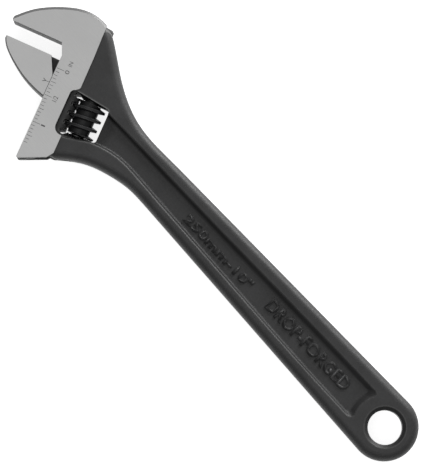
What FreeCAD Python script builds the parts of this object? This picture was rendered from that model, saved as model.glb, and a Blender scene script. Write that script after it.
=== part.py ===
import FreeCAD, Part
import math
import os

# Adjustable wrench, 250 mm class.  The layout is drawn about the hang hole: X runs along the
# handle to the head, Y to the moving-jaw side, Z up through the scale face.  Head features are
# drawn in the head frame (a, b): a along the jaws, b along the jaw travel.

V = FreeCAD.Vector

# ---- overall sizes, mm
HEAD_HALF = 7.5
TAIL_HALF = 5.35
SHOULDER_HALF = 6.3
SHOULDER_Z = 6.13
WEB_HALF = 3.25
HEAD_ANGLE = 23.0
HEAD_ORIGIN = (215.03, -11.65)

# ---- handle
TAIL_R = 14.9
TAIL_X = 0.4
TAPER = math.radians(1.63)
NECK_X = 142.0
NECK_FLAT = 8.0
EDGE_ROUND = 3.6
RIB_ROUND = 0.8
WINDOW_BEVEL = 0.7
SLOPE_LOW = 1.5
SLOPE_TOP = 5.6
HOLE_R = 7.5
HOLE_CHAMFER = 1.6

# ---- head
SCALE_END = 54.0
RELIEF_A = 2.4
RELIEF_B = 5.3
JAW_REACH = 26.0
PAD_BEVEL = 1.2
JAW_BEVEL = 0.6
SLAB_END_A = -3.9

# ---- outlines in the head frame, (a, b) with corner radii, and of the recess, (x, y)
PAD_EDGE = [(-12.7, -26), (-12.7, -9), (-13.1, 0), (-13.3, 15.3), (-10.4, 17.6)]
PAD_EDGE += [(-14.2, 36.4), (-14.2, 45.5), (-12.1, 48.3), (-0.9, 53.5), (40, 53.5), (40, -40)]
PAD_CORNERS = [(-13.3, 15.3, 1.5), (-10.4, 17.6, 1.5), (-14.2, 45.5, 1.0), (-12.1, 48.3, 1.0)]
PAD_CORNERS += [(-0.9, 53.5, 0.4), (0, 53.5, 0.4), (JAW_REACH, 0, 0.6)]
MILLED = [(-28.6, 18.65, 1.3), (-9.95, 18.65, 1.5), (-9.95, 34.0, 1.5), (-28.6, 34.0, 1.3)]
MOUTH = [(-28.6, 18.6, 1.3), (-9.95, 16.3, 2.2), (-9.95, 38.0, 3.6), (-28.8, 34.0, 1.3)]
FLOOR_TOP = [(20, 7.7), (60, 7.3), (105, 5.9), (150, 4.6), (164, 4.9), (172, 7.0), (184, 13.2)]
BRIM_TOP = [(20, 8.9), (60, 8.5), (105, 7.2), (150, 5.9), (164, 6.2), (172, 8.3), (184, 14.6)]
FLOOR_LOW = [(20, -5.6), (60, -4.9), (105, -4.1), (150, -3.7), (172, -3.6), (181.5, -3.8)]
BRIM_LOW = [(20, -9.4), (60, -8.4), (105, -7.0), (150, -5.9), (172, -5.2), (182, -4.7)]

# ---- guide bore, slot and bar
BORE_A = -11.0
BORE_R = 5.3
BAR_R = 5.22
BAR_LOW = -14.0
BAR_TOP = 38.0
BAR_CHAMFER = 0.8
SLOT_HALF = 3.1
WEB_T_HALF = 2.9

# ---- rack and worm
WORM_A = -19.85
PITCH = 25.4 / 6
THREAD_PHASE = 20.6
CREST_R = 7.3
ROOT_R = 4.7
CREST_W = 1.1
ROOT_W = 2.2
CREST_BREAK = 0.4
WORM_LOW = 18.95
WORM_TOP = 33.7
HUB_R = 3.2
HUB_LOW = 17.6
RACK_TIP = -14.6
RACK_ROOT = -12.1
RACK_START = -8.6
RACK_MEAN_R = 6.0
BACKLASH = 0.28

# ---- worm pin and spring
PIN_R = 1.8
PIN_FIT = 0.03
WORM_FIT = 0.05
PIN_LOW = 11.8
PIN_STEP = 38.6
PIN_HEAD_R = 2.6
PIN_TOP = 44.4
SPOT_R = 4.3
SPOT_LOW = 17.5
SPOT_TOP = 36.3
WIRE_R = 0.35
SPRING_R = 3.0
SPRING_TURNS = 4.0
COUNTERBORE_R = 3.7
COUNTERBORE = 2.9

# ---- moving jaw at rest
OPENING = 7.05
JAW_GAP = 0.2

TURN = math.radians(HEAD_ANGLE)
E1 = V(math.cos(TURN), math.sin(TURN), 0)
E2 = V(-math.sin(TURN), math.cos(TURN), 0)
ORIGIN = V(HEAD_ORIGIN[0], HEAD_ORIGIN[1], 0)


def head(a, b, z=0.0):
    """Point of the head frame in the layout."""
    return ORIGIN + E1 * a + E2 * b + V(0, 0, z)


def spline(points, start=None, end=None):
    """Smooth edge through points, with optional end directions."""
    curve = Part.BSplineCurve()
    if start is None:
        curve.interpolate(Points=points)
    else:
        curve.interpolate(Points=points, InitialTangent=start, FinalTangent=end)
    return curve.toShape()


def prism(edges, low, high):
    """Solid between two heights over a closed chain of edges drawn at z = 0."""
    wire = Part.Wire(Part.__sortEdges__(edges))
    face = Part.Face(wire)
    face.translate(V(0, 0, low))
    return face.extrude(V(0, 0, high - low))


def lines(points):
    """Straight edges joining the points in order."""
    return [Part.makeLine(p, q) for p, q in zip(points[:-1], points[1:])]


def rod(a, radius, low, top):
    """Cylinder parallel to the jaw travel."""
    return Part.makeCylinder(radius, top - low, head(a, low), E2)


def in_head(shape):
    """Move a shape drawn in head coordinates to its place."""
    turn = FreeCAD.Rotation(V(0, 0, 1), HEAD_ANGLE)
    shape.Placement = FreeCAD.Placement(ORIGIN, turn).multiply(shape.Placement)
    return shape


def block(low, high):
    """Box between two corners in head coordinates."""
    size = high - low
    return in_head(Part.makeBox(size.x, size.y, size.z, low))


def level_edges(shape, height):
    """Edges lying flat at a height."""
    found = []
    for edge in shape.Edges:
        box = edge.BoundBox
        if abs(box.ZMin - height) < 1e-3 and abs(box.ZMax - height) < 1e-3:
            found.append(edge)
    return found


def round_corners(shape, corners):
    """Round the upright edge at each (a, b, radius) of the head frame."""
    for a, b, radius in corners:
        spot = head(a, b)
        near = []
        for edge in shape.Edges:
            mid = edge.valueAt(0.5 * (edge.FirstParameter + edge.LastParameter))
            flat = V(mid.x, mid.y, 0)
            if edge.BoundBox.ZLength > HEAD_HALF and flat.sub(spot).Length < 0.3:
                near.append(edge)
        shape = shape.makeFillet(radius, near)
    return shape


def bevel_curved(shape, size):
    """Bevel the curved edges of the two flat faces of a jaw."""
    curved = []
    for edge in level_edges(shape, HEAD_HALF) + level_edges(shape, -HEAD_HALF):
        if edge.Curve.TypeId == "Part::GeomBSplineCurve":
            curved.append(edge)
    return shape.makeChamfer(size, curved)


# ---- outline of the forging
rise = math.tan(TAPER)
top_tan = V(TAIL_X + TAIL_R * math.sin(TAPER), TAIL_R * math.cos(TAPER), 0)
low_tan = V(top_tan.x, -top_tan.y, 0)


def half_width(x):
    """Half width of the straight handle at x."""
    return top_tan.y - (x - top_tan.x) * rise


neck_top = V(NECK_X, half_width(NECK_X), 0)
neck_low = V(NECK_X, -half_width(NECK_X), 0)
tail_end = V(TAIL_X - TAIL_R, 0, 0)

jaw_tip = head(JAW_REACH, -2.0)
back = [neck_low, V(156, -10.35, 0), V(168, -11.1, 0), V(180, -14.7, 0), V(192, -21.1, 0)]
back += [V(201, -26.75, 0), V(207.5, -29.7, 0), V(212.5, -30.0, 0), V(219.3, -28.2, 0)]
back += [V(227.3, -22.4, 0), V(235.2, -13.1, 0), jaw_tip]
back_edge = spline(back, V(10, 10 * rise, 0), V(3.2, 8.6, 0))

scale_tip = head(0, SCALE_END)
shoulder = [scale_tip, V(187.6, 31.4, 0), V(179.5, 23.4, 0), V(171.5, 17.45, 0)]
shoulder += [V(163.4, 14.0, 0), V(154, 11.5, 0), neck_top]
shoulder_edge = spline(shoulder, V(-6, -6, 0), V(-10, 10 * rise, 0))

jaw_line = [jaw_tip, head(JAW_REACH, 0), head(RELIEF_A, 0), head(0, RELIEF_B), scale_tip]
outline = [Part.Arc(top_tan, tail_end, low_tan).toShape()]
outline += lines([low_tan, neck_low]) + [back_edge] + lines(jaw_line)
outline += [shoulder_edge] + lines([neck_top, top_tan])

# ---- handle and shoulder, thicker toward the head, edges well rounded
slab = prism(outline, -HEAD_HALF, HEAD_HALF)
x_tail = tail_end.x - 1
x_head = ORIGIN.x + 30
side = [V(x_tail, 0, -TAIL_HALF), V(x_head, 0, -SHOULDER_HALF), V(x_head, 0, SHOULDER_HALF)]
side += [V(x_tail, 0, TAIL_HALF), V(x_tail, 0, -TAIL_HALF)]
wedge = Part.Face(Part.makePolygon(side)).extrude(V(0, 120, 0))
wedge.translate(V(0, -60, 0))
slab = slab.common(wedge)
slab = slab.cut(block(V(SLAB_END_A, -60, -20), V(80, 100, 20)))


def rim_edges(shape):
    """Edges of the two broad faces that follow the forging's outline."""
    found = []
    for edge in shape.Edges:
        box = edge.BoundBox
        mid = edge.valueAt(0.5 * (edge.FirstParameter + edge.LastParameter))
        a = (mid - ORIGIN).dot(E1)
        if box.ZLength < 1.5 and abs(mid.z) > 4 and a < -2:
            found.append(edge)
    return found


slab = slab.makeFillet(EDGE_ROUND, rim_edges(slab))

# ---- ground pad of the head, full thickness
pad_line = [head(a, b) for a, b in PAD_EDGE + PAD_EDGE[:1]]
region = prism(lines(pad_line), -HEAD_HALF, HEAD_HALF)
pad = prism(outline, -HEAD_HALF, HEAD_HALF).common(region)
pad = round_corners(pad, PAD_CORNERS)
pad = bevel_curved(pad, PAD_BEVEL)
body = slab.fuse(pad)

# ---- long recess in each face, leaving the web between the ribs: its wall is steep along the
# jaw side and slopes along the back
def recess_wire(top, low, radius, height):
    """Closed outline of the recess at one height, its tail end an arc about the hang hole."""
    sides = []
    for line in (top, low):
        start = V(math.sqrt(radius ** 2 - line[0][1] ** 2), line[0][1], height)
        sides.append([start] + [V(x, y, height) for x, y in line[1:]])
    upper, lower = sides
    arc = Part.Arc(upper[0], V(radius, 0, height), lower[0]).toShape()
    mouth = Part.makeLine(lower[-1], upper[-1])
    return Part.Wire([arc, spline(lower), mouth, spline(upper[::-1])])


floor_wire = recess_wire(FLOOR_TOP, FLOOR_LOW, 16.6, WEB_HALF)
brim_wire = recess_wire(BRIM_TOP, BRIM_LOW, 12.2, HEAD_HALF)
recess = Part.makeLoft([floor_wire, brim_wire], True, True)
corner = []
for edge in recess.Edges:
    if edge.BoundBox.ZLength > 1 and edge.BoundBox.XMax < 30:
        corner.append(edge)
recess = recess.makeFillet(2.2, corner)
recess = recess.makeFillet(1.2, level_edges(recess, WEB_HALF))
body = body.cut(recess)
body = body.cut(recess.mirror(V(0, 0, 0), V(0, 0, 1)))

brim = []
for edge in body.Edges:
    mid = edge.valueAt(0.5 * (edge.FirstParameter + edge.LastParameter))
    inside = max(NECK_FLAT, half_width(mid.x) - EDGE_ROUND - 0.4)
    if abs(mid.z) > TAIL_HALF - 0.1 and 12 < mid.x < 170 and abs(mid.y) < inside:
        brim.append(edge)
body = body.makeFillet(RIB_ROUND, brim)

# ---- worm window: milled square to the worm, its end walls sloping out to the two faces
def rounded_wire(corners, height):
    """Closed outline through corners (a, b, radius) of the head frame at one height."""
    points = [head(a, b, height) for a, b, radius in corners]
    starts, ends, arcs = [], [], []
    for k, (a, b, radius) in enumerate(corners):
        before = (points[k - 1] - points[k]).normalize()
        after = (points[(k + 1) % len(points)] - points[k]).normalize()
        half = before.getAngle(after) / 2
        centre = points[k] + (before + after).normalize() * (radius / math.sin(half))
        starts.append(points[k] + before * (radius / math.tan(half)))
        ends.append(points[k] + after * (radius / math.tan(half)))
        crown = centre + (points[k] - centre).normalize() * radius
        arcs.append(Part.Arc(starts[k], crown, ends[k]).toShape())
    edges = []
    for k, arc in enumerate(arcs):
        edges += [arc, Part.makeLine(ends[k], starts[(k + 1) % len(arcs)])]
    return Part.Wire(edges)


window = Part.Face(rounded_wire(MILLED, -HEAD_HALF - 1)).extrude(V(0, 0, 2 * HEAD_HALF + 2))
body = body.cut(window)
foot = head(*MOUTH[3][:2])
wall = (head(*MOUTH[2][:2]) - foot).normalize()
outward = V(0, 0, 1).cross(wall)
for sign in (1, -1):
    inner = rounded_wire(MILLED, sign * SLOPE_LOW)
    outer = rounded_wire(MOUTH, sign * SLOPE_TOP)
    body = body.cut(Part.makeLoft([inner, outer], True, True))
    body = body.cut(Part.Face(outer).extrude(V(0, 0, sign * HEAD_HALF)))
    low = foot + wall * 0.6 + V(0, 0, sign * (SHOULDER_Z - WINDOW_BEVEL))
    high = low + V(0, 0, sign * (WINDOW_BEVEL + 1))
    away = high + outward * (WINDOW_BEVEL + 1)
    flare = Part.Face(Part.makePolygon([low, high, away, low])).extrude(wall * 14.0)
    body = body.cut(flare)

# ---- guide bore and web slot
body = body.cut(rod(BORE_A, BORE_R, -40, 80))
body = body.cut(block(V(BORE_A, 0, -SLOT_HALF), V(9, 80, SLOT_HALF)))

# ---- pin hole with its screw seat, and spot faces for the worm hub and the spring
body = body.cut(rod(WORM_A, PIN_R + PIN_FIT, PIN_LOW - 0.3, PIN_STEP + 1))
body = body.cut(rod(WORM_A, PIN_HEAD_R + PIN_FIT, PIN_STEP, 60))
body = body.cut(rod(WORM_A, SPOT_R, SPOT_LOW, SPOT_TOP))

# ---- hang hole, countersunk both sides
body = body.cut(Part.makeCylinder(HOLE_R, 40, V(0, 0, -20)))
tail_z = TAIL_HALF + (0 - x_tail) / (x_head - x_tail) * (SHOULDER_HALF - TAIL_HALF)
for sign in (1, -1):
    deep = V(0, 0, sign * (tail_z - HOLE_CHAMFER))
    sink = Part.makeCone(HOLE_R, HOLE_R + 2 * HOLE_CHAMFER, 2 * HOLE_CHAMFER, deep, V(0, 0, sign))
    body = body.cut(sink)

# ---- worm
def helix_sweep(profile, pitch, height, radius):
    """Solid swept along a right-hand helix standing on z = 0."""
    path = Part.makeHelix(pitch, height, radius)
    return Part.Wire(path).makePipeShell([profile], True, True)


def to_travel(shape, b):
    """Stand a shape built on z = 0 along the jaw travel at height b on the worm axis."""
    turn = FreeCAD.Rotation(E1, E1.cross(E2) * -1, E2, "ZXY")
    shape.Placement = FreeCAD.Placement(head(WORM_A, b), turn)
    return shape


thread_start = THREAD_PHASE + PITCH / 2 - 2 * PITCH
core = ROOT_R - 0.4
half_core = ROOT_W / 2 + 0.4 * (ROOT_W - CREST_W) / 2 / (CREST_R - ROOT_R)
profile = Part.makePolygon([
    V(core, 0, -half_core), V(CREST_R, 0, -CREST_W / 2),
    V(CREST_R, 0, CREST_W / 2), V(core, 0, half_core), V(core, 0, -half_core)])
thread = to_travel(helix_sweep(profile, PITCH, 6 * PITCH, ROOT_R), thread_start)
blank = rod(WORM_A, CREST_R + CREST_BREAK, WORM_LOW, WORM_TOP)
blank = blank.makeChamfer(2 * CREST_BREAK, [e for e in blank.Edges if e.Closed])
thread = thread.common(blank)
worm = rod(WORM_A, ROOT_R, WORM_LOW, WORM_TOP).fuse(thread)
worm = worm.fuse(rod(WORM_A, HUB_R, HUB_LOW, WORM_LOW + 1))
worm = worm.cut(rod(WORM_A, PIN_R + WORM_FIT, HUB_LOW - 1, WORM_TOP + 1))
worm = worm.cut(rod(WORM_A, COUNTERBORE_R, WORM_TOP - COUNTERBORE, WORM_TOP + 1))

# ---- worm pin
pin = rod(WORM_A, PIN_R, PIN_LOW, PIN_TOP)
pin = pin.fuse(rod(WORM_A, PIN_HEAD_R, PIN_STEP + 0.05, PIN_TOP))
driver = V(WORM_A, PIN_TOP, 0)
pin = pin.cut(block(driver - V(4, 1.3, 0.45), driver + V(4, 1, 0.45)))

# ---- worm spring
spring_low = WORM_TOP - COUNTERBORE + 0.05 + WIRE_R
spring_len = SPOT_TOP - 0.1 - WIRE_R - spring_low
ring = Part.makeCircle(WIRE_R, V(SPRING_R, 0, 0), V(0, 1, 0))
ring.rotate(V(SPRING_R, 0, 0), V(0, 1, 0), 180)
spring = helix_sweep(Part.Wire(ring), spring_len / SPRING_TURNS, spring_len, SPRING_R)
spring = to_travel(spring, spring_low)

# ---- moving jaw
jaw_nose = head(25.6, OPENING + 1.4)
jaw_heel = head(JAW_GAP, 24.9)
jaw_back = [jaw_nose, head(24.5, 10.4), head(18.6, 16.0), head(12.6, 20.0), head(6.2, 23.0)]
jaw_back += [jaw_heel]
jaw_front = [jaw_heel, head(JAW_GAP, 14.7), head(4.2, OPENING), head(25.6, OPENING), jaw_nose]
jaw = prism(lines(jaw_front) + [spline(jaw_back)], -HEAD_HALF, HEAD_HALF)
jaw = round_corners(jaw, [(25.6, OPENING, 0.5)])
jaw = bevel_curved(jaw, JAW_BEVEL)
web_line = [head(BORE_A, OPENING + 0.15), head(6, OPENING + 0.15), head(6, 22.5)]
web_line += [head(0.5, 24.2), head(BORE_A, 24.2), head(BORE_A, OPENING + 0.15)]
web = prism(lines(web_line), -WEB_T_HALF, WEB_T_HALF)
bar = rod(BORE_A, BAR_R, BAR_LOW, BAR_TOP)
bar = bar.makeChamfer(BAR_CHAMFER, [e for e in bar.Edges if e.Closed])
bar = bar.cut(block(V(RACK_TIP - 10, RACK_START, -10), V(RACK_TIP, 80, 10)))

# the gaps between the teeth lean by the lead of the thread they mesh with
lean = math.degrees(math.atan(PITCH / (2 * math.pi * RACK_MEAN_R)))
gap_tip = CREST_W / 2 + BACKLASH
flank = (ROOT_W - CREST_W) / 2 / (CREST_R - ROOT_R)
gap_open = gap_tip + flank * (RACK_ROOT - RACK_TIP + 3)
first = THREAD_PHASE + PITCH / 2 - 7 * PITCH
for k in range(12):
    mid = first + k * PITCH
    gap = [V(RACK_ROOT, mid - gap_tip, 0), V(RACK_ROOT, mid + gap_tip, 0)]
    gap += [V(RACK_TIP - 3, mid + gap_open, 0), V(RACK_TIP - 3, mid - gap_open, 0), gap[0]]
    tool = Part.Face(Part.makePolygon(gap)).extrude(V(0, 0, 24))
    tool.translate(V(0, 0, -12))
    tool.rotate(V(0, mid, 0), V(1, 0, 0), lean)
    bar = bar.cut(in_head(tool))
moving_jaw = jaw.fuse(web).fuse(bar)

# ---- centre of the box to the origin, lowest point at z = 0, and write the pieces
nodes = {"body": body, "moving_jaw": moving_jaw, "worm": worm}
nodes.update({"worm_pin": pin, "worm_spring": spring})
whole = Part.makeCompound(list(nodes.values())).optimalBoundingBox(False, False)
SHIFT = V(-whole.Center.x, -whole.Center.y, -whole.ZMin)
os.makedirs("parts", exist_ok=True)
for name, shape in nodes.items():
    shape.translate(SHIFT)
    shape.exportStep(os.path.join("parts", name + ".step"))
    print(name, shape.ShapeType, len(shape.Solids), shape.isValid(), round(shape.Volume, 1))
print("shift", SHIFT, "box", whole)
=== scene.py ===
import math
import bmesh
import bpy
from mathutils import Matrix, Vector


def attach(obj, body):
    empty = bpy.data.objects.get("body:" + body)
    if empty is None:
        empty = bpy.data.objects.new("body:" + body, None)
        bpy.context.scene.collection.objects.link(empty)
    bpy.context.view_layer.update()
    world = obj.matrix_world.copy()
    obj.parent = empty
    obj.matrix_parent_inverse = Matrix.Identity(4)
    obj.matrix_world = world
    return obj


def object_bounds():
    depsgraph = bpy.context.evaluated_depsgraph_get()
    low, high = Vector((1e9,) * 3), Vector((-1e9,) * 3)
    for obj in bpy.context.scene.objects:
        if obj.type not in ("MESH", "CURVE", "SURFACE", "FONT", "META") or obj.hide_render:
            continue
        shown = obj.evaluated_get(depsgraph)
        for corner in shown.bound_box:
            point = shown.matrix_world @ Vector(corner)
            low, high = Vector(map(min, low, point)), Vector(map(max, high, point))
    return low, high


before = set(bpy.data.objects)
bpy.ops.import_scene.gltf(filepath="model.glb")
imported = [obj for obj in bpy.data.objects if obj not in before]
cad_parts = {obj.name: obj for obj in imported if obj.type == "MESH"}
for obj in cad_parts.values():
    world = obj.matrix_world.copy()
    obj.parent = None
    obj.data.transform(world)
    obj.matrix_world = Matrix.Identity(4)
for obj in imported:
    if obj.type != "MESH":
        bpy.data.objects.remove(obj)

cad_low, cad_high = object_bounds()

# ---- Forging: handle, ribs, worm window and fixed jaw ---------------------------------------
# One drop forging of alloy steel.  It is phosphated black all over and oiled; the two broad
# faces of the head are then ground flat, which leaves bright steel there.
GRIND_TOP = cad_high.z
GRIND_LOW = cad_low.z
GRIND_DEPTH = 0.00115
HEAD_TURN = math.radians(23)
BLACK = (0.021, 0.021, 0.0215, 1)
BLACK_RUBBED = (0.044, 0.044, 0.045, 1)
# painted highlight: light grey for the outward edges, partly rubbed phosphate and partly
# standing in for the highlight along them
RIM_WEAR_AND_HIGHLIGHT = (0.17, 0.17, 0.168, 1)
STEEL = (0.52, 0.52, 0.515, 1)
STEEL_DULL = (0.42, 0.42, 0.42, 1)
# painted shade: the grey that tilted ground faces such as the small bevels are darkened to
BEVEL_PAINTED_SHADE = (0.15, 0.15, 0.15, 1)
# painted shade: near-black laid on the walls inside the worm's window
WINDOW_SHADE_BLACK = (0.004, 0.004, 0.0042, 1)
CRYSTALS = 1500
CLOUDS = 90
HAMMER_MARKS = 420
BELT_LINES = (300, 7000, 300)
EDGE_RUB_AND_HIGHLIGHT = 0.0008
SKIN_DEPTH = 0.00009
WORM_SEAT = (0.0750, 0.0018, (GRIND_TOP + GRIND_LOW) / 2)
# reach and depth of the painted shade in the worm's window
SHADE_REACH = 0.0165
SHADE_DEPTH = 0.0060


class Finish:
    """A procedural material in the making: a principled shader and the nodes that feed it."""

    def __init__(self, name):
        self.material = bpy.data.materials.new(name)
        self.material.use_nodes = True
        self.tree = self.material.node_tree
        self.shader = self.tree.nodes["Principled BSDF"]
        self.place = self.add("ShaderNodeTexCoord").outputs["Object"]

    def add(self, kind, **values):
        """A node with its properties and unlinked sockets set."""
        node = self.tree.nodes.new(kind)
        for key, value in values.items():
            if hasattr(node, key):
                setattr(node, key, value)
            else:
                node.inputs[key].default_value = value
        return node

    def join(self, output, socket):
        self.tree.links.new(output, socket)

    def stretched(self, scale, turn=0.0):
        """Object coordinates turned about Z and stretched."""
        node = self.add("ShaderNodeMapping")
        node.inputs["Scale"].default_value = scale
        node.inputs["Rotation"].default_value = (0, 0, turn)
        self.join(self.place, node.inputs["Vector"])
        return node.outputs["Vector"]

    def grain(self, scale, detail=3.0, roughness=0.5, vector=None):
        """Noise from 0 to 1 in the piece's own place; scale is per metre."""
        node = self.add("ShaderNodeTexNoise")
        node.inputs["Scale"].default_value = scale
        node.inputs["Detail"].default_value = detail
        node.inputs["Roughness"].default_value = roughness
        self.join(vector or self.place, node.inputs["Vector"])
        return node.outputs["Fac"]

    def between(self, fac, low, high, new_low=0.0, new_high=1.0):
        """fac moved from the range low-high to new_low-new_high."""
        node = self.add("ShaderNodeMapRange")
        for key, value in (("From Min", low), ("From Max", high)):
            node.inputs[key].default_value = value
        for key, value in (("To Min", new_low), ("To Max", new_high)):
            node.inputs[key].default_value = value
        self.join(fac, node.inputs["Value"])
        return node.outputs["Result"]

    def sum(self, a, b, operation="ADD"):
        """a and b worked together; either may be a number."""
        node = self.add("ShaderNodeMath", operation=operation)
        for socket, value in zip(node.inputs, (a, b)):
            if isinstance(value, (int, float)):
                socket.default_value = value
            else:
                self.join(value, socket)
        return node.outputs[0]

    def mix(self, fac, a, b):
        """Colour a to b by fac; either may be a fixed colour."""
        node = self.add("ShaderNodeMix", data_type="RGBA")
        self.join(fac, node.inputs["Factor"])
        for socket, value in ((node.inputs[6], a), (node.inputs[7], b)):
            if isinstance(value, tuple):
                socket.default_value = value
            else:
                self.join(value, socket)
        return node.outputs[2]

    def bump(self, height, depth):
        """Surface relief of a depth in metres."""
        node = self.add("ShaderNodeBump")
        node.inputs["Strength"].default_value = 1.0
        node.inputs["Distance"].default_value = depth
        self.join(height, node.inputs["Height"])
        return node.outputs["Normal"]

    def edges(self, radius):
        """1 on outward edges, falling to 0 a radius away; inward corners stay 0."""
        thin = self.add("ShaderNodeAmbientOcclusion", samples=8, inside=True, only_local=True)
        thin.inputs["Distance"].default_value = radius
        return self.between(thin.outputs["AO"], 0.97, 0.66)

    def ground(self):
        """1 on what the grinding wheel reaches: the two broad faces and their small bevels."""
        split = self.add("ShaderNodeSeparateXYZ")
        self.join(self.place, split.inputs[0])
        top = self.sum(split.outputs["Z"], GRIND_TOP - GRIND_DEPTH, "GREATER_THAN")
        low = self.sum(split.outputs["Z"], GRIND_LOW + GRIND_DEPTH, "LESS_THAN")
        flat = self.sum(self.level(), 0.5, "GREATER_THAN")
        return self.sum(self.sum(top, low, "MAXIMUM"), flat, "MULTIPLY")

    def level(self):
        """1 on a face square to Z, 0 on an upright wall."""
        facing = self.add("ShaderNodeSeparateXYZ")
        self.join(self.add("ShaderNodeNewGeometry").outputs["Normal"], facing.inputs[0])
        return self.sum(facing.outputs["Z"], 0.0, "ABSOLUTE")

    def painted_inner_shade(self, centre, reach, depth):
        """Mask for painted shade: 1 inside the metal around a centre, 0 beyond the reach and on
        the outer faces.
        """
        away = self.add("ShaderNodeVectorMath", operation="DISTANCE")
        away.inputs[1].default_value = centre
        self.join(self.place, away.inputs[0])
        split = self.add("ShaderNodeSeparateXYZ")
        self.join(self.place, split.inputs[0])
        off = self.sum(self.sum(split.outputs["Z"], centre[2], "SUBTRACT"), 0.0, "ABSOLUTE")
        near = self.between(away.outputs["Value"], reach, 0.85 * reach)
        return self.sum(near, self.between(off, depth, 0.8 * depth), "MULTIPLY")


def forged_and_ground(name):
    """Black phosphate with the grinding planes bright, the outward edges lightened by rubbed
    wear and a painted highlight, tilted ground faces darkened with painted shade, and the walls
    of the worm's window darkened with painted shade.
    """
    finish = Finish(name)
    ground = finish.ground()
    forged = finish.sum(1.0, ground, "SUBTRACT")
    # phosphate crystals, with slow mottling, and outward edges lightened to a bright rim that is
    # partly rubbed wear and partly a painted highlight
    cloud = finish.between(finish.grain(CLOUDS, 4, 0.55), 0.35, 0.70)
    grit = finish.grain(CRYSTALS, 3, 0.6)
    hammer = finish.grain(HAMMER_MARKS, 2, 0.5)
    worn = finish.sum(finish.edges(EDGE_RUB_AND_HIGHLIGHT), finish.between(grit, 0.25, 0.60, 0.35), "MULTIPLY")
    black = finish.mix(finish.sum(cloud, 0.45, "MULTIPLY"), BLACK, BLACK_RUBBED)
    # outward edges lightened: partly rubbed wear, partly a painted highlight
    black = finish.mix(worn, black, RIM_WEAR_AND_HIGHLIGHT)
    # painted shade: the walls inside the worm's window, around the worm seat, are darkened
    black = finish.mix(finish.painted_inner_shade(WORM_SEAT, SHADE_REACH, SHADE_DEPTH), black, WINDOW_SHADE_BLACK)
    # belt lines along the jaws on the bright faces
    lines = finish.grain(1, 4, 0.65, finish.stretched(BELT_LINES, -HEAD_TURN))
    dull = finish.between(finish.grain(60, 5, 0.6), 0.35, 0.65)
    bright = finish.mix(finish.between(lines, 0.3, 0.7), STEEL_DULL, STEEL)
    bright = finish.mix(finish.sum(dull, 0.35, "MULTIPLY"), bright, STEEL_DULL)
    # painted shade: ground faces that tilt away from flat are darkened towards the bevel grey
    bright = finish.mix(finish.between(finish.level(), 0.985, 0.95), bright, BEVEL_PAINTED_SHADE)
    finish.join(finish.mix(ground, black, bright), finish.shader.inputs["Base Color"])
    finish.join(ground, finish.shader.inputs["Metallic"])
    rough_black = finish.between(grit, 0.3, 0.7, 0.42, 0.60)
    rough_steel = finish.between(lines, 0.3, 0.7, 0.30, 0.44)
    spread = finish.sum(finish.sum(ground, rough_steel, "MULTIPLY"),
                        finish.sum(forged, rough_black, "MULTIPLY"))
    finish.join(spread, finish.shader.inputs["Roughness"])
    skin = finish.sum(finish.sum(hammer, 0.7, "MULTIPLY"), finish.sum(grit, 0.3, "MULTIPLY"))
    skin = finish.sum(skin, forged, "MULTIPLY")
    skin = finish.sum(skin, finish.sum(finish.sum(lines, ground, "MULTIPLY"), 0.05, "MULTIPLY"))
    finish.join(finish.bump(skin, SKIN_DEPTH), finish.shader.inputs["Normal"])
    return finish.material


def repaint(node, material):
    """Give a CAD node its finish."""
    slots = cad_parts[node].data.materials
    for k in range(len(slots)):
        slots[k] = material


repaint("body", forged_and_ground("forged_handle"))

# ---- Moving jaw -----------------------------------------------------------------------------
# A second forging of the same steel.  Its web slides in the slot of the head and its round bar
# in the guide bore; only the two flat faces of the jaw itself are ground bright.
repaint("moving_jaw", forged_and_ground("forged_jaw"))

# ---- Worm, its pin and its spring -----------------------------------------------------------
# The thumb worm is turned from bar and blackened; it runs on a plain pin whose slotted head is
# screwed into the neck, and a small spring in its end takes up the play.
OILED = (0.012, 0.012, 0.0125, 1)
OILED_RUBBED = (0.06, 0.06, 0.062, 1)
WIRE = (0.22, 0.22, 0.22, 1)
WIRE_DARK = (0.12, 0.12, 0.12, 1)
TOOL_GRAIN = 2600
PATCHES = 260
WORM_RUB = 0.0005
FINE_DEPTH = 0.00003
OILED_SHINE = 0.3


def turned(name, dark, light, rough, metallic):
    """Turned steel: the fine grain of the tool, darker and lighter patches, rubbed edges."""
    finish = Finish(name)
    grit = finish.grain(TOOL_GRAIN, 3, 0.6)
    patch = finish.between(finish.grain(PATCHES, 3, 0.5), 0.35, 0.7)
    worn = finish.sum(finish.edges(WORM_RUB), finish.between(grit, 0.3, 0.6), "MULTIPLY")
    shade = finish.sum(finish.sum(patch, 0.3, "MULTIPLY"), worn, "MAXIMUM")
    finish.join(finish.mix(shade, dark, light), finish.shader.inputs["Base Color"])
    finish.shader.inputs["Metallic"].default_value = metallic
    finish.shader.inputs["Specular IOR Level"].default_value = OILED_SHINE
    finish.join(finish.between(grit, 0.3, 0.7, rough - 0.06, rough + 0.08),
                finish.shader.inputs["Roughness"])
    finish.join(finish.bump(grit, FINE_DEPTH), finish.shader.inputs["Normal"])
    return finish.material


repaint("worm", turned("blackened_worm", OILED, OILED_RUBBED, 0.40, 0.0))
repaint("worm_pin", turned("blackened_pin", OILED, OILED_RUBBED, 0.36, 0.0))
repaint("worm_spring", turned("drawn_wire", WIRE_DARK, WIRE, 0.30, 1.0))

# ---- Size and steel marks on the web --------------------------------------------------------
# The die of the forging leaves letters standing on the floor of the recess, reading from the
# head to the hang hole.  They are phosphated with the rest.
HOLE = Vector((-0.112622, -0.003455))
WEB_TOP = 0.01075
LETTER_SINK = 0.0003
LETTER_RISE = 0.00065
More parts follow.
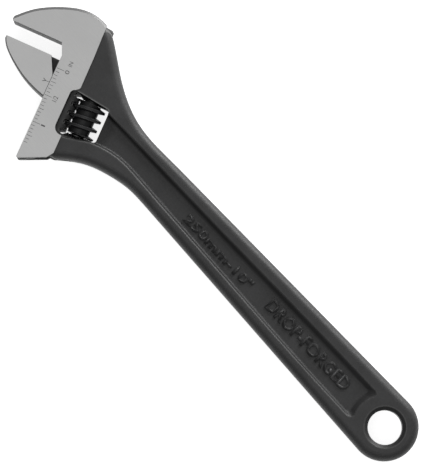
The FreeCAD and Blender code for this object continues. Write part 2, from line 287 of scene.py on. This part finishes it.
# painted highlight: grey for the letters' outward edges, partly rubbed wear
LETTER_RUB_AND_HIGHLIGHT_GREY = (0.085, 0.085, 0.086, 1)
LETTER_RUB = 0.0003
LETTER_WEIGHT = 0.040


def forged_black(name):
    """Black phosphate on a piece with no ground face; its outward edges are lightened, partly
    rubbed wear and partly a painted highlight.
    """
    finish = Finish(name)
    grit = finish.grain(CRYSTALS, 3, 0.6)
    cloud = finish.between(finish.grain(CLOUDS, 4, 0.55), 0.35, 0.70, 0, 0.5)
    worn = finish.sum(finish.edges(LETTER_RUB), finish.between(grit, 0.3, 0.6, 0.3), "MULTIPLY")
    shade = finish.mix(cloud, BLACK, BLACK_RUBBED)
    # letter edges lightened: partly rubbed wear, partly a painted highlight
    finish.join(finish.mix(worn, shade, LETTER_RUB_AND_HIGHLIGHT_GREY), finish.shader.inputs["Base Color"])
    finish.join(finish.between(grit, 0.3, 0.7, 0.42, 0.60), finish.shader.inputs["Roughness"])
    finish.join(finish.bump(grit, FINE_DEPTH), finish.shader.inputs["Normal"])
    return finish.material


def lettering(name, words, height, width, weight, thick):
    """Flat letters standing on z = 0 as a mesh, centred, of a cap height and overall width."""
    text = bpy.data.curves.new(name, "FONT")
    text.body = words
    text.size = 1.0
    text.offset = weight
    text.resolution_u = 4
    shaped = bpy.data.objects.new(name, text)
    bpy.context.scene.collection.objects.link(shaped)
    bpy.context.view_layer.update()
    mesh = bpy.data.meshes.new_from_object(shaped)
    bpy.data.objects.remove(shaped)
    mesh.name = name
    work = bmesh.new()
    work.from_mesh(mesh)
    bmesh.ops.remove_doubles(work, verts=work.verts, dist=1e-5)
    xs = [v.co.x for v in work.verts]
    ys = [v.co.y for v in work.verts]
    size = Vector((width / (max(xs) - min(xs)), height / (max(ys) - min(ys)), 1))
    centre = Vector(((max(xs) + min(xs)) / 2, (max(ys) + min(ys)) / 2, 0))
    bmesh.ops.translate(work, verts=work.verts, vec=-centre)
    bmesh.ops.scale(work, verts=work.verts, vec=size)
    bmesh.ops.dissolve_limit(work, angle_limit=0.02, verts=work.verts, edges=work.edges)
    flat = bmesh.ops.extrude_face_region(work, geom=work.faces[:])
    raised = [g for g in flat["geom"] if isinstance(g, bmesh.types.BMVert)]
    bmesh.ops.translate(work, verts=raised, vec=(0, 0, thick))
    bmesh.ops.recalc_face_normals(work, faces=work.faces)
    work.to_mesh(mesh)
    work.free()
    return bpy.data.objects.new(name, mesh)


def stand(piece, middle, reading, body, material):
    """Turn a marking to its reading direction, put it on its face and fix it to a body."""
    across = Vector((-reading.y, reading.x))
    turn = Matrix(((reading.x, across.x, 0, middle.x), (reading.y, across.y, 0, middle.y),
                   (0, 0, 1, middle.z), (0, 0, 0, 1)))
    piece.data.transform(turn)
    piece.data.materials.append(material)
    bpy.context.scene.collection.objects.link(piece)
    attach(piece, body)


die_black = forged_black("forged_letters")
TAILWARD = Vector((-1, 0))
for name, words, centre_x, centre_y, height, width in (
        ("mark_steel", "DROP-FORGED", 0.0485, 0.0, 0.0062, 0.050),
        ("mark_size", "250mm-10\"", 0.1045, 0.0010, 0.0047, 0.0415)):
    spot = Vector((HOLE.x + centre_x, HOLE.y + centre_y, WEB_TOP - LETTER_SINK))
    thick = LETTER_SINK + LETTER_RISE
    piece = lettering(name, words, height, width, LETTER_WEIGHT, thick)
    stand(piece, spot, TAILWARD, "handle", die_black)

# ---- Inch scale and index arrow -------------------------------------------------------------
# The scale is rolled into the ground face beside the jaw slot: sixteenths of an inch with a
# figure at 0, 1/2 and 1.  The jaw has one arrow to read it by.  Black stays in the strokes.
HEAD_ORIGIN = Vector((0.102408, -0.015105))
JAW_WARD = Vector((math.cos(HEAD_TURN), math.sin(HEAD_TURN)))
TRAVEL = Vector((-math.sin(HEAD_TURN), math.cos(HEAD_TURN)))
SIXTEENTH = 0.0015875
SCALE_ZERO = 0.0111
SCALE_TICKS = 23
TICK_WIDE = 0.00020
TICK_LONG = {0: 0.0034, 8: 0.0031, 16: 0.0034}
TICK_FOUR = 0.0023
TICK_SHORT = 0.0016
INLAY_SINK = 0.00015
INLAY_PROUD = 0.00002
FIGURE_ROW = -0.0052
TICK_START = -0.0004
STROKE_DARK = (0.035, 0.035, 0.035, 1)
STROKE_WORN = (0.13, 0.13, 0.13, 1)
STROKE_GRAIN = 2200
STROKE_DEPTH = 0.00002


def inlay_black(name):
    """What is left in a rolled stroke: dark, matt, broken by the grain of the steel."""
    finish = Finish(name)
    speck = finish.between(finish.grain(STROKE_GRAIN, 2, 0.5), 0.3, 0.7)
    finish.join(finish.mix(speck, STROKE_DARK, STROKE_WORN), finish.shader.inputs["Base Color"])
    finish.join(finish.between(speck, 0, 1, 0.45, 0.65), finish.shader.inputs["Roughness"])
    finish.join(finish.bump(speck, STROKE_DEPTH), finish.shader.inputs["Normal"])
    return finish.material


def on_head(a, b):
    """Place on the scale face in the head's own directions."""
    spot = HEAD_ORIGIN + JAW_WARD * a + TRAVEL * b
    return Vector((spot.x, spot.y, GRIND_TOP - INLAY_SINK))


def strokes(name, bars):
    """Straight bars (middle, length, width, turn) laid in the ground face, as one mesh."""
    work = bmesh.new()
    deep = INLAY_SINK + INLAY_PROUD
    for middle, length, width, turn in bars:
        bar = bmesh.ops.create_cube(work, size=1.0)["verts"]
        bmesh.ops.scale(work, verts=bar, vec=(length, width, deep))
        bmesh.ops.translate(work, verts=bar, vec=(0, 0, deep / 2))
        bmesh.ops.rotate(work, verts=bar, matrix=Matrix.Rotation(turn, 3, "Z"))
        bmesh.ops.translate(work, verts=bar, vec=middle)
    mesh = bpy.data.meshes.new(name)
    work.to_mesh(mesh)
    work.free()
    return bpy.data.objects.new(name, mesh)


def fasten(piece, body, material):
    """Finish a piece that already lies in its place."""
    piece.data.materials.append(material)
    bpy.context.scene.collection.objects.link(piece)
    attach(piece, body)


stroke_black = inlay_black("scale_strokes")
ticks = []
for k in range(SCALE_TICKS):
    length = TICK_LONG.get(k, TICK_FOUR if k % 4 == 0 else TICK_SHORT)
    middle = on_head(TICK_START - length / 2, SCALE_ZERO + k * SIXTEENTH)
    ticks.append((middle, length, TICK_WIDE, HEAD_TURN))
fasten(strokes("scale_ticks", ticks), "handle", stroke_black)

for name, words, b, row, height, width in (
        ("figure_in", "IN", 0.0073, FIGURE_ROW, 0.0017, 0.0021),
        ("figure_0", "0", SCALE_ZERO, FIGURE_ROW, 0.0019, 0.0016),
        ("figure_half", "1/2", SCALE_ZERO + 8 * SIXTEENTH, FIGURE_ROW, 0.0021, 0.0024),
        ("figure_1", "1", SCALE_ZERO + 16 * SIXTEENTH, FIGURE_ROW, 0.0019, 0.0006)):
    piece = lettering(name, words, height, width, 0.0, INLAY_SINK + INLAY_PROUD)
    stand(piece, on_head(row, b), -TRAVEL, "handle", stroke_black)

REST_OPENING = 0.00705
ARROW_B = SCALE_ZERO + REST_OPENING
ARROW_STEM = (0.0010, 0.0016)
ARROW_TIP = 0.0018
ARROW_ARM = 0.0015
ARROW_SPREAD = math.radians(26)
arms = [(on_head(ARROW_STEM[0], ARROW_B), ARROW_STEM[1], TICK_WIDE, HEAD_TURN)]
for side in (1, -1):
    lean = HEAD_TURN + side * ARROW_SPREAD
    along = Vector((math.cos(lean), math.sin(lean), 0))
    middle = on_head(ARROW_TIP, ARROW_B) + along * ARROW_ARM / 2
    arms.append((middle, ARROW_ARM, TICK_WIDE * 1.5, lean))
fasten(strokes("index_arrow", arms), "jaw", stroke_black)

# ---- Floor, light and camera ----------------------------------------------------------------
# The wrench lies on a white table under a large soft light, with a smaller one low at its side.
FLOOR_HALF = 3.0
FLOOR_DROP = 0.0002
ROOM_GLOW = 0.28


def soft_light(name, place, aim, size, power):
    """Square soft box turned towards a point."""
    lamp = bpy.data.lights.new(name, "AREA")
    lamp.shape = "SQUARE"
    lamp.size = size
    lamp.energy = power
    light = bpy.data.objects.new(name, lamp)
    light.location = place
    light.rotation_euler = (Vector(place) - Vector(aim)).to_track_quat("Z", "Y").to_euler()
    bpy.context.scene.collection.objects.link(light)


plate = bmesh.new()
bmesh.ops.create_grid(plate, x_segments=1, y_segments=1, size=FLOOR_HALF)
bmesh.ops.translate(plate, verts=plate.verts, vec=(0, 0, -FLOOR_DROP))
floor_mesh = bpy.data.meshes.new("floor")
plate.to_mesh(floor_mesh)
plate.free()
floor = bpy.data.objects.new("floor", floor_mesh)
bpy.context.scene.collection.objects.link(floor)
table = Finish("white_table")
table.shader.inputs["Base Color"].default_value = (0.8, 0.8, 0.8, 1)
table.shader.inputs["Roughness"].default_value = 0.9
table.shader.inputs["Emission Color"].default_value = (1, 1, 1, 1)
table.shader.inputs["Emission Strength"].default_value = 0.80
floor_mesh.materials.append(table.material)

world = bpy.data.worlds.new("studio")
world.use_nodes = True
glow = world.node_tree.nodes["Background"]
glow.inputs["Color"].default_value = (1, 1, 1, 1)
glow.inputs["Strength"].default_value = ROOM_GLOW
bpy.context.scene.world = world
soft_light("overhead", (0.0, 0.1, 2.0), (0, 0, 0), 1.6, 7.0)
soft_light("side", (0.25, -1.1, 0.40), (0, 0, 0), 0.7, 15)
bpy.context.scene.view_settings.view_transform = "Standard"

AIM = Vector((0.0003, -0.0054, GRIND_TOP))
CAMERA_FAR = 1.63
CAMERA_TURN = 0.82434
CAMERA_TILT = 0.069
VIEW_HEIGHT = 0.2003
SENSOR = 36.0
camera_data = bpy.data.cameras.new("camera")
camera_data.sensor_width = SENSOR
camera_data.lens = SENSOR * CAMERA_FAR / VIEW_HEIGHT
camera = bpy.data.objects.new("camera", camera_data)
flat_up = Vector((math.sin(CAMERA_TURN), -math.cos(CAMERA_TURN), 0))
back = (Vector((0, 0, 1)) - flat_up * math.tan(CAMERA_TILT)).normalized()
up = (flat_up - back * flat_up.dot(back)).normalized()
right = up.cross(back)
eye = AIM + back * CAMERA_FAR
camera.matrix_world = Matrix((
    (right.x, up.x, back.x, eye.x), (right.y, up.y, back.y, eye.y),
    (right.z, up.z, back.z, eye.z), (0, 0, 0, 1)))
bpy.context.scene.collection.objects.link(camera)
bpy.context.scene.camera = camera
